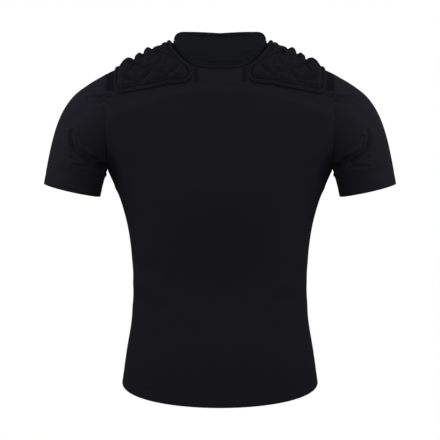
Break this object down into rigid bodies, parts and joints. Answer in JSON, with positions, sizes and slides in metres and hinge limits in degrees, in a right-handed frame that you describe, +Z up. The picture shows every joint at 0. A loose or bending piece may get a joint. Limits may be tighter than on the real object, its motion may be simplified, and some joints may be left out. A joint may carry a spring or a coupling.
{
  "type": "short-sleeved protective top with quilted shoulder pads",
  "caption": "Close-fitting short-sleeved protective top with a stand-up neck band and quilted foam pads over the shoulders, in its worn hollow form.",
  "frame": {"origin": "between the shoulders, level with the points where the shoulder seams meet the neck, where the wearer's shoulders hold the top", "axes": "+Z up towards the neck, +Y towards the back of the top, -Y the way the wearer faces, +X towards the wearer's left sleeve"},
  "size_m": [0.6176, 0.2361, 0.6443],
  "materials": {
    "cloth": "matt close-knit stretch jersey, near black",
    "pad": "matt knitted cover over foam cells, near black"
  },
  "bodies": {
    "root": {"back_panel": "cloth", "front_panel": "cloth", "sleeve_left": "cloth", "sleeve_right": "cloth", "collar": "cloth", "shoulder_pad_left": "pad", "shoulder_pad_right": "pad", "pad_edge_left": "pad", "pad_edge_right": "pad"}
  },
  "joints": []
}
